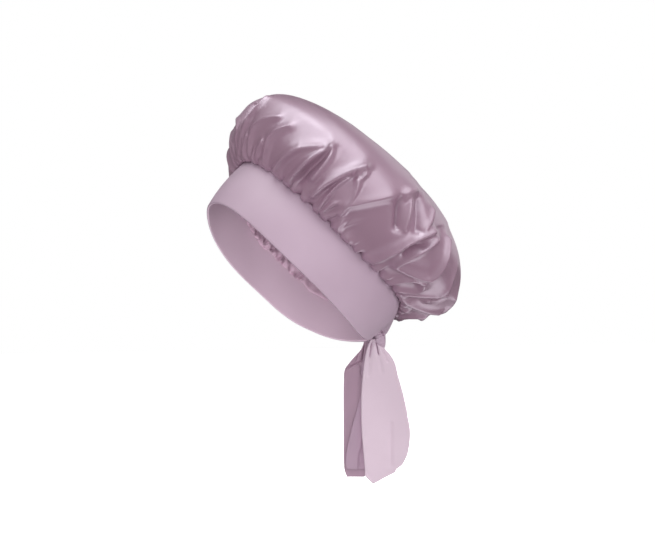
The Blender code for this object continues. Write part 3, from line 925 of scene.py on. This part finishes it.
def seam_allowance(angle):
    """The gathered allowance that hangs inside the band: a crinkled frill, smooth where it turns over."""
    hang = np.linspace(1, 0, HEM_RINGS + 1)[None, :-1]
    degrees = np.degrees(angle)
    depth = ALLOWANCE + ALLOWANCE_DEEPER * hump(degrees, *DEEPER_AT)
    for size, count, start in HEM_WAVES:
        depth = depth + size * np.sin(count * angle + start)
    smooth = hump(degrees, *SMOOTH_AT)
    turn = FRILLS * angle
    for size, count in FRILL_UNEVEN:
        turn = turn + size * np.sin(count * angle)
    frill = (0.5 + 0.5 * np.cos(turn)) * (1 - smooth) + 0.5 * smooth
    crinkle = 0
    for count, lean, uneven, uneven_count in CRINKLES:
        crinkle = crinkle + np.sin(count * angle + lean * hang + uneven * np.sin(uneven_count * angle))
    inward = seam_pinch(angle) * (1 - hang) + hang * (FRILL_LEAST + FRILL_DEPTH * frill)
    inward = np.maximum(inward + CRINKLE_DEPTH * crinkle * hang * (1 - smooth), LEAST_INWARD)
    inward = inward - HEM_CURL * ramp(hang, HEM_CURL_FROM, 1.0)
    return crown_surface(angle, 0.0) - drawn_in(angle, inward, depth * hang)


def crown_on_flat(points, angle, heights):
    """Places on the flat circle of cloth: the length of cloth from the top, in its direction from there."""
    steps = length(np.diff(points, axis=1))
    from_hem = np.cumsum(steps[:, ::-1], axis=1)[:, ::-1]
    reach = np.concatenate([from_hem, np.zeros((len(points), 1))], axis=1)
    side, back, _ = hat_parts(crown_surface(angle, heights))
    from_top = unit(stacked(side, back - CROWN_APEX_BACK))
    return reach[..., None] * from_top


def build_crown(material, painted_light_hem_material):
    """The crown: hanging allowance, solved cloth, smooth top and the point that closes it."""
    heights, cloth = crown_cloth()
    angle = ring_angles(FINE_COLUMNS)
    cap = np.linspace(CAP_HEIGHT, CAP_TOP, CAP_RINGS + 1)[None, 1:]
    top = crown_surface(angle, cap)
    top = top + crown_outward(angle, cap) * crown_folds(angle, cap, top)[..., None]
    points = np.concatenate([seam_allowance(angle), cloth, top], axis=1)
    rows = points.shape[1]
    all_heights = np.concatenate([np.zeros(HEM_RINGS), heights, cap[0]])[None, :]
    flat = crown_on_flat(points, angle, all_heights)
    apex = crown_surface(0.0, APEX_HEIGHT)
    last = np.arange(FINE_COLUMNS) * rows + rows - 1
    faces = ring_faces(FINE_COLUMNS, rows) + fan(last, FINE_COLUMNS * rows)
    points = np.vstack([points.reshape(-1, 3), apex[None]])
    flat = np.vstack([flat.reshape(-1, 2), [[0.0, 0.0]]])
    kinds = np.zeros((FINE_COLUMNS, rows - 1), dtype=int)
    # the allowance's rows take the second material, the satin painted paler as painted light for the little
    # light inside the band
    kinds[:, : HEM_RINGS + 1] = 1
    kinds = kinds.ravel().tolist() + [0] * FINE_COLUMNS
    materials = [material, painted_light_hem_material]
    return add_piece("crown_cloth", points, faces, flat, materials, "crown", kinds)


# ---- band


def band_outline():
    """Section of the band as shares of its width and of half its thickness, round the rolled lower edge."""
    turn = np.linspace(-math.pi / 2, 0, BAND_ROLL_POINTS)
    rolled = np.stack([BAND_ROLL * (1 + np.sin(turn)), np.cos(turn)], axis=-1)
    up = np.linspace(2 * BAND_ROLL, 1.0, BAND_FACE_POINTS)
    face = np.stack([up, np.ones_like(up)], axis=-1)
    outside = np.concatenate([rolled, face])
    inside = outside[::-1] * (1, -1)
    return np.concatenate([outside, inside[:-1]])


def band_edge(angle):
    """How far the lower edge lies above the plain ring, from the table."""
    steps = 361
    degrees, near, far = smooth_rows(BAND_EDGE, steps).T
    turned = np.degrees(signed_turn(angle))
    away = np.abs(turned)
    return np.where(turned > 0, np.interp(away, degrees, near), np.interp(away, degrees, far)) / 1000


def band_surface(angle, up, across):
    """The band at angles round the ring, shares up its width, and shares out through half its thickness."""
    dip = near_nape(angle, BAND_END_DIP_ANGLE)
    low = saddle(angle) + BAND_END_RISE * dip + band_edge(angle)
    high = seam_rise(angle) - BAND_END_DIP * dip
    arch = np.sin(math.pi * up)
    bow = BAND_BOW * arch * np.where(across > 0, 1, BAND_INNER_BOW)
    slack = BAND_SLACK * np.sin(BAND_SLACK_WAVES * angle + 1) * arch
    slack = slack + BAND_RIPPLE * np.sin(BAND_RIPPLES * angle + BAND_RIPPLE_LEAN * up)
    pleat = np.cos(NAPE_PLEATS * math.pi * up + NAPE_PLEAT_LEAN * angle)
    pleat = NAPE_PLEAT_DEPTH * arch * pleat * near_nape(angle, NAPE_PLEAT_ANGLE)
    out = across * BAND_THICKNESS / 2 + bow + slack + pleat
    pulled = NAPE_PULL * near_nape(angle, NAPE_PULL_ANGLE)
    out_side = np.sin(angle) / RING_HALF_WIDTH
    out_back = np.cos(angle) / RING_HALF_LENGTH
    size = np.hypot(out_side, out_back)
    side = RING_HALF_WIDTH * np.sin(angle) + out * out_side / size
    back = RING_HALF_LENGTH * np.cos(angle) + pulled + out * out_back / size
    return hat_point(side, back, low + (high - low) * up)


def ends_drawn_in(angle):
    """How the band's two ends are moved towards each other and back to the knot."""
    away = np.degrees(np.abs(signed_turn(angle)))
    together = BAND_END_IN * away * hump(away, 0, BAND_END_IN_REACH, 4)
    to_side = np.where(np.sin(angle) > 0, -together, together)
    return stacked(to_side * math.sin(TAIL_TURN), together * math.cos(TAIL_TURN), 0.0)


def crease_band(points, angle, across):
    """The band with the creases beside the knot pressed into the outside of its near end."""
    offset = points - tail_point(0.0, 0.0, 0.0)
    crease = crease_depth(offset @ ACROSS_WAY, -offset[..., 2], BAND_CREASES)
    creased = (across > 0) & (angle < CREASES_REACH) & (offset @ FRONT_WAY > CREASES_BACK)
    return points - np.where(creased, crease, 0)[..., None] * FRONT_WAY


def build_band(outside, inside):
    """The band: an open strip, closed at its two ends, whose inside, the reverse face, is painted lighter as
    painted light.
    """
    outline = band_outline()
    angle = np.linspace(BAND_END_ANGLE, 2 * math.pi - BAND_END_ANGLE, BAND_COLUMNS)[:, None]
    up = outline[None, :, 0]
    across = outline[None, :, 1]
    points = crease_band(band_surface(angle, up, across) + ends_drawn_in(angle), angle, across)
    steps = length(np.diff(points[:, BAND_MEASURED_ROW], axis=0))
    around = np.concatenate([[0], np.cumsum(steps)])[:, None]
    strip = stacked(around, up * BAND_WIDTH - BAND_WIDTH * (across < 0))
    index = np.arange(strip[..., 0].size).reshape(strip.shape[:-1])
    faces = []
    kinds = []
    for first, second, quads in wrapped_strips(index):
        faces += quads.tolist()
        # faces on the inside take the second material: the reverse face, painted paler as painted light
        turned_in = outline[first, 1] < 0 or outline[second, 1] < 0
        kinds += [int(turned_in)] * len(quads)
    faces.append(index[0, ::-1].tolist())
    faces.append(index[-1].tolist())
    kinds += [0, 0]
    points = points.reshape(-1, 3)
    strip = strip.reshape(-1, 2)
    return add_piece("band_strip", points, faces, strip, [outside, inside], "band", kinds)


# ---- knot and tails


def tail_point(across, front, drop):
    """Places from the knot's middle: to the camera's right, towards the camera, and down."""
    across, front, drop = np.broadcast_arrays(across, front, drop)
    knot = hat_point(0.0, KNOT_BACK, KNOT_RISE)
    return knot + across[..., None] * ACROSS_WAY + front[..., None] * FRONT_WAY + drop[..., None] * DOWN


def crease_depth(across, drop, rows):
    """How deep a table's creases are; where two cross, the deeper one shows."""
    places = stacked(across, drop)
    deepest = np.zeros(places.shape[:-1])
    for *ends, half_width, depth in np.array(rows) / 1000:
        _, away = from_line(places, np.array(ends[:2]), np.array(ends[2:]))
        deepest = np.maximum(deepest, depth * hump(length(away), 0, half_width))
    return deepest


def squarer(value):
    """A sine or cosine, changed so that a ball's section comes out squarer."""
    return np.sign(value) * np.abs(value) ** KNOT_SQUARENESS


def build_knot(material):
    """The knot: a squarish wrapped ball, whose front has the crossing turn, its hole and its notch."""
    around = ring_angles(KNOT_COLUMNS)
    up = np.linspace(-math.pi / 2, math.pi / 2, KNOT_ROWS + 2)[None, 1:-1]
    across = KNOT_HALF_ACROSS * squarer(np.cos(up)) * squarer(np.cos(around)) * KNOT_NARROWER
    front = KNOT_HALF_DEEP * squarer(np.cos(up)) * squarer(np.sin(around))
    drop = -KNOT_HALF_TALL * np.where(up > 0, KNOT_TOP, KNOT_BOTTOM) * squarer(np.sin(up))
    drop = drop * np.ones_like(across)
    facing = ramp(front, 0.0, KNOT_FACING)
    turn_across, turn_drop = np.array(KNOT_TURN).T / 1000
    below = ramp(drop - np.interp(across, turn_across, turn_drop), *KNOT_TURN_EDGE)
    crease = crease_depth(across, drop, KNOT_CREASES)
    crease = crease + KNOT_RIB_DEPTH * np.sin(KNOT_RIBS * (drop + 0.5 * across))
    front = front + facing * (KNOT_FRONT - crease - KNOT_TURN_STEP * below)
    points = tail_point(across, front, drop).reshape(-1, 3)
    poles = tail_point(np.zeros(2), np.zeros(2), KNOT_HALF_TALL * np.array([KNOT_BOTTOM, -KNOT_TOP]))
    low = np.arange(KNOT_COLUMNS) * KNOT_ROWS
    faces = ring_faces(KNOT_COLUMNS, KNOT_ROWS)
    faces += fan(low[::-1], len(points)) + fan(low + KNOT_ROWS - 1, len(points) + 1)
    flat = stacked(around * KNOT_HALF_ACROSS, up * KNOT_HALF_TALL).reshape(-1, 2)
    flat = np.vstack([flat, [[0.0, -KNOT_HALF_TALL], [0.0, KNOT_HALF_TALL]]])
    points = np.vstack([points, poles])
    return add_piece("knot_wrap", points, faces, flat, [material], "knot")


def smooth_rows(table, count):
    """Rows read from a smooth curve through a table's rows, evenly spaced in the table's first column."""
    table = np.array(table)
    at = np.linspace(table[0, 0], table[-1, 0], count)
    slopes = np.gradient(table[:, 1:], table[:, 0], axis=0)
    place = np.clip(np.searchsorted(table[:, 0], at, side="right") - 1, 0, len(table) - 2)
    low = table[place]
    high = table[place + 1]
    width = (high[:, 0] - low[:, 0])[:, None]
    share = ((at - low[:, 0])[:, None]) / width
    blend = share**2 * (3 - 2 * share)
    rest = low[:, 1:] * (1 - blend) + high[:, 1:] * blend
    bend = share * (1 - share) ** 2 * slopes[place] - share**2 * (1 - share) * slopes[place + 1]
    rest = rest + width * bend
    return np.concatenate([at[:, None], rest], axis=1)


def thick_sheet(name, middle, flat, materials, node, second_from):
    """A closed double sheet round a grid of middle points; the second material is from one column on."""
    rows, columns, _ = middle.shape
    outward = unit(np.cross(np.gradient(middle, axis=1), np.gradient(middle, axis=0)))
    half = np.full((1, columns, 1), TAIL_THICKNESS / 2)
    half[:, [0, -1]] = TAIL_SIDE_SHARE * TAIL_THICKNESS
    ring = np.concatenate([middle + outward * half, (middle - outward * half)[:, ::-1]], axis=1)
    count = 2 * columns
    index = np.arange(rows * count).reshape(rows, count)
    faces = []
    kinds = []
    for first, _, quads in wrapped_strips(index):
        faces += quads.tolist()
        kinds += [int(min(first, count - 1 - first) >= second_from)] * len(quads)
    for end, order in ((0, -1), (-1, 1)):
        for left in range(columns - 1):
            right = count - 1 - left
            faces.append(index[end, [left, left + 1, right - 1, right]][::order].tolist())
            kinds.append(int(left >= second_from))
    flat = np.concatenate([flat, flat[:, ::-1]], axis=1).reshape(-1, 2)
    return add_piece(name, ring.reshape(-1, 3), faces, flat, materials, node, kinds)


def build_tail_near(material):
    """The leaf-shaped end in front, with its creases and the ridge of its turned hem."""
    table = smooth_rows(NEAR_TAIL, NEAR_TAIL_ROWS) / 1000
    drop, left, right, cup, front = np.hsplit(table, table.shape[1])
    share = np.linspace(0, 1, NEAR_TAIL_COLUMNS)[None, :]
    across = left + (right - left) * share
    front = front + cup * np.sin(math.pi * share)
    front = front - crease_depth(across, drop, NEAR_TAIL_CREASES)
    front = front + HEM_RIDGE * hump(across - left, HEM_INSET, HEM_HALF_WIDTH)
    middle = tail_point(across, front, drop)
    flat = stacked(across, drop)
    return thick_sheet("tail_near_leaf", middle, flat, [material], "tail_near", NEAR_TAIL_COLUMNS)


def build_tail_far(shaded, lit):
    """The end behind: a back layer, a fold down its right side, and a front layer with a shorter hem."""
    table = smooth_rows(FAR_TAIL, FAR_TAIL_ROWS) / 1000
    drop, left, fold, edge = np.hsplit(table, table.shape[1])
    back_share = np.linspace(0, 1, FAR_BACK_COLUMNS)[None, :]
    turn = np.linspace(-math.pi / 2, math.pi / 2, FAR_FOLD_COLUMNS + 2)[None, 1:-1]
    front_share = np.linspace(0, 1, FAR_FRONT_COLUMNS)[None, :]
    open_by = FAR_FOLD_OPEN + FAR_FOLD_WIDER * ramp(drop, *FAR_FOLD_WIDENS)
    back = left + (fold - left) * back_share
    bend = fold + open_by * np.cos(turn)
    front = fold + (edge - fold) * front_share
    across = np.concatenate([back, bend, front], axis=1)
    depth_back = -open_by - FAR_BACK_BOW * np.sin(math.pi * back_share)
    depth_front = open_by + FAR_FRONT_BOW * np.sin(math.pi * front_share)
    depth = np.concatenate([depth_back, open_by * np.sin(turn), depth_front], axis=1)
    step_drop, step_across = np.array(FAR_TAIL_STEP).T / 1000
    turned_in = ramp(across - np.interp(drop, step_drop, step_across), *FAR_STEP_EDGE)
    turned_in = turned_in * ramp(drop, *FAR_STEP_STARTS)
    over_fold = np.linspace(0, 1, FAR_FOLD_COLUMNS)
    in_front = np.concatenate([np.zeros(FAR_BACK_COLUMNS), over_fold, np.ones(FAR_FRONT_COLUMNS)])[None, :]
    crease = crease_depth(across, drop, FAR_TAIL_CREASES) + FAR_TAIL_STEP_DEPTH * turned_in * in_front
    drop = drop - FAR_TAIL_SHORTER * in_front * (drop / table[-1, 0]) ** FAR_HEM_POWER
    middle = tail_point(across, FAR_TAIL_FRONT + depth - crease, drop)
    steps = length(np.diff(middle, axis=1))
    flat_across = np.concatenate([np.zeros((len(table), 1)), np.cumsum(steps, axis=1)], axis=1)
    flat = stacked(flat_across, drop)
    return thick_sheet("tail_far_fold", middle, flat, [shaded, lit], "tail_far", FAR_LIT_FROM)


# ---- materials


def linear(hex_colour):
    """An sRGB hex colour as linear light."""
    channels = [int(hex_colour[i : i + 2], 16) / 255 for i in (1, 3, 5)]
    light = [c / 12.92 if c <= 0.04045 else ((c + 0.055) / 1.055) ** 2.4 for c in channels]
    return (*light, 1.0)


def add(tree, kind, settings=None, inputs=None):
    """Adds a node. An input is a value, or another node's output to link."""
    made = tree.nodes.new(kind)
    for name, value in (settings or {}).items():
        setattr(made, name, value)
    for name, value in (inputs or {}).items():
        if isinstance(value, bpy.types.NodeSocket):
            tree.links.new(value, made.inputs[name])
        else:
            made.inputs[name].default_value = value
    return made


def empty_material(name):
    """A new material and its empty tree of nodes."""
    material = bpy.data.materials.new(name)
    material.use_nodes = True
    material.node_tree.nodes.clear()
    return material, material.node_tree


def add_surface(tree, surface):
    """The shader, with its values and links, as the material's surface."""
    shader = add(tree, "ShaderNodeBsdfPrincipled", inputs=surface)
    add(tree, "ShaderNodeOutputMaterial", inputs={"Surface": shader.outputs["BSDF"]})


def woven_satin(name, pale, deep, roughness, ior, gloss, lustre, thread_depth, crumple_depth):
    """Woven polyester satin, whose shade, threads and crumples come from noise at real sizes."""
    material, tree = empty_material(name)
    cloth = add(tree, "ShaderNodeUVMap", {"uv_map": "cloth"}).outputs["UV"]
    place = add(tree, "ShaderNodeTexCoord").outputs["Object"]
    floats = add(tree, "ShaderNodeTangent", {"direction_type": "UV_MAP", "uv_map": "cloth"})
    per_metre = (1000 / THREAD_MM, 1000 / SLUB_MM, 1.0)
    slub = add(tree, "ShaderNodeMapping", inputs={"Vector": cloth, "Scale": per_metre}).outputs["Vector"]
    noises = []
    patterns = ((place, 1000 / SHADE_MM, 3.0), (slub, 1.0, 2.0), (place, 1000 / CRUMPLE_MM, 4.0))
    for vector, scale, detail in patterns:
        noise = add(tree, "ShaderNodeTexNoise", inputs={"Vector": vector, "Scale": scale, "Detail": detail})
        noises.append(noise.outputs["Fac"])
    shade, thread, crumple = noises
    tone = {"Factor": shade, "A": linear(deep), "B": linear(pale)}
    mix = add(tree, "ShaderNodeMix", {"data_type": "RGBA"}, tone)
    span = {"Value": thread, "To Min": roughness - ROUGHNESS_SPREAD, "To Max": roughness + ROUGHNESS_SPREAD}
    rough = add(tree, "ShaderNodeMapRange", inputs=span)
    soft = add(tree, "ShaderNodeBump", inputs={"Height": crumple, "Distance": crumple_depth})
    relief = {"Height": thread, "Distance": thread_depth, "Normal": soft.outputs["Normal"]}
    fine = add(tree, "ShaderNodeBump", inputs=relief)
    surface = {
        "Base Color": mix.outputs["Result"],
        "Roughness": rough.outputs["Result"],
        "IOR": ior,
        "Specular Tint": linear(gloss),
        "Anisotropic": lustre,
        "Tangent": floats.outputs["Tangent"],
        "Normal": fine.outputs["Normal"],
    }
    add_surface(tree, surface)
    return material


def glossy_satin():
    """The crown's shiny face: long floats of thread side by side, for broad soft lights along its folds."""
    return woven_satin("glossy_woven_satin", "#9C7B8D", "#927084", 0.35, 2.3, **SHINY_FACE)


def turned_in_satin_painted_light():
    """The shiny face of the seam allowance: softer lights, and painted paler, as painted light, for the
    little light that reaches inside.
    """
    return woven_satin("glossy_woven_satin_turned_in_painted_light", "#EBC6DC", "#DDB6CC", 0.42, 2.0, **SHINY_FACE)


def matte_satin():
    """The dull face, on the band and the knot: an even tone with faint broad lights."""
    return woven_satin("matte_woven_satin", "#BCA3B6", "#B59CAE", 0.55, 1.5, **DULL_FACE)


def reverse_satin_painted_light():
    """The band's inside: the dull face, painted paler as painted light, for the little light there."""
    return woven_satin("reverse_of_matte_woven_satin_painted_light", "#EFD3E6", "#E6C9DC", 0.55, 1.5, **DULL_FACE)


def pale_satin_painted_light():
    """The near tail: the dull face painted at its palest, as painted light, with slightly crisper lights."""
    return woven_satin("pale_matte_woven_satin_painted_light", "#DAC5D3", "#D1BBCA", 0.5, 1.5, **DULL_FACE)


def shaded_satin():
    """The far tail's back layer: the dull face, a little deeper, as painted shade."""
    return woven_satin("shaded_matte_woven_satin", "#B698AB", "#AD8FA2", 0.55, 1.5, **DULL_FACE)


def lit_satin():
    """The far tail's front layer: the dull face, a little lighter than its back layer, as painted light."""
    return woven_satin("lit_matte_woven_satin", "#B89CB0", "#AF93A7", 0.55, 1.5, **DULL_FACE)


def studio_paper():
    """Matte white paper, bright enough to show no edge or shadow against the white room."""
    paper, tree = empty_material("studio_paper")
    white = {"Emission Color": (1, 1, 1, 1), "Emission Strength": 1.0}
    add_surface(tree, {"Base Color": linear("#F6F5F6"), "Roughness": 0.9, **white})
    return paper


# ---- stage, light and camera


def add_stage():
    """A wide pale floor under the bonnet."""
    size = 6.0
    level = -0.30
    corners = [(-size, -size, level), (size, -size, level), (size, size, level), (-size, size, level)]
    mesh = bpy.data.meshes.new("floor")
    mesh.from_pydata(corners, [], [(0, 1, 2, 3)])
    mesh.materials.append(studio_paper())
    floor = add_object("floor", mesh)
    floor.visible_diffuse = False
    floor.visible_glossy = False
    floor.visible_shadow = False


def add_softbox(name, place, size, power, gives):
    """A rectangular lamp aimed at the bonnet, which gives the cloth only its tone or only its gloss."""
    light = bpy.data.lights.new(name, "AREA")
    light.shape = "RECTANGLE"
    light.size = size[0]
    light.size_y = size[1]
    light.energy = power
    box = add_object(name, light)
    box.location = place
    box.visible_glossy = gives == "gloss"
    box.visible_diffuse = gives == "tone"
    box.visible_camera = False
    box.rotation_euler = (Vector(LIGHTS_AIM) - Vector(place)).to_track_quat("-Z", "Y").to_euler()


def add_world():
    """A white room: what the camera sees is white, and what lights the cloth is softer."""
    world = bpy.data.worlds.new("studio_room")
    world.use_nodes = True
    tree = world.node_tree
    tree.nodes.clear()
    white = linear("#FFFFFF")
    ray = add(tree, "ShaderNodeLightPath")
    span = {"Value": ray.outputs["Is Diffuse Ray"], "To Min": ROOM_GLOSS, "To Max": ROOM_TONE}
    lit = add(tree, "ShaderNodeMapRange", inputs=span)
    room = add(tree, "ShaderNodeBackground", inputs={"Color": white, "Strength": lit.outputs["Result"]})
    seen = add(tree, "ShaderNodeBackground", inputs={"Color": white, "Strength": 1.0})
    either = {0: ray.outputs["Is Camera Ray"], 1: room.outputs[0], 2: seen.outputs[0]}
    mix = add(tree, "ShaderNodeMixShader", inputs=either)
    add(tree, "ShaderNodeOutputWorld", inputs={"Surface": mix.outputs[0]})
    bpy.context.scene.world = world


def add_camera():
    """The camera, level and facing the tails, as in the photograph."""
    front = Vector(FRONT_WAY)
    right = Vector(ACROSS_WAY)
    camera = bpy.data.cameras.new("camera")
    camera.lens = CAMERA_LENS
    seat = add_object("camera", camera)
    seat.location = right * CAMERA_ASIDE + front * CAMERA_AWAY
    seat.rotation_euler = (-front).to_track_quat("-Z", "Y").to_euler()
    bpy.context.scene.camera = seat


# ---- the bonnet

matte = matte_satin()
crown = build_crown(glossy_satin(), turned_in_satin_painted_light())
band = build_band(matte, reverse_satin_painted_light())
knot = build_knot(matte)
tail_near = build_tail_near(pale_satin_painted_light())
tail_far = build_tail_far(shaded_satin(), lit_satin())

add_stage()
add_world()
for name, place, size, power, gives in SOFTBOXES:
    add_softbox(name, place, size, power, gives)
add_camera()
bpy.context.scene.view_settings.view_transform = "Standard"
